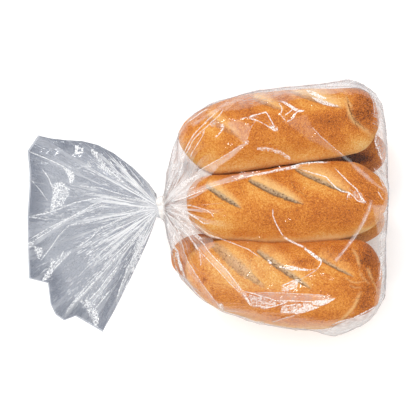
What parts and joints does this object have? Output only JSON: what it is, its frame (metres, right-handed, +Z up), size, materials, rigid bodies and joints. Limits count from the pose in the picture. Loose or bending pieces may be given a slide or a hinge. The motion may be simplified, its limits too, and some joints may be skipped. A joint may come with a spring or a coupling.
{
  "type": "pack of sub rolls",
  "caption": "Clear film bag of crusty sub rolls lying on its back, gathered at the neck by a white tie with the bag's mouth fanned out beyond it.",
  "frame": {"origin": "on the surface the pack lies on, under the middle of the whole pack's box", "axes": "+X from the loose tail to the bag's closed end, along the rolls, +Y across the rolls, +Z up, out of the side that shows"},
  "size_m": [0.3014, 0.2126, 0.111],
  "materials": {
    "film": "clear polyethylene film, glossy, creased and slightly milky where it is gathered",
    "tie_strip": "white plastic-coated strip, satin",
    "crust": null
  },
  "bodies": {
    "root": {"bag": "film", "tie": "tie_strip"}
  },
  "joints": []
}
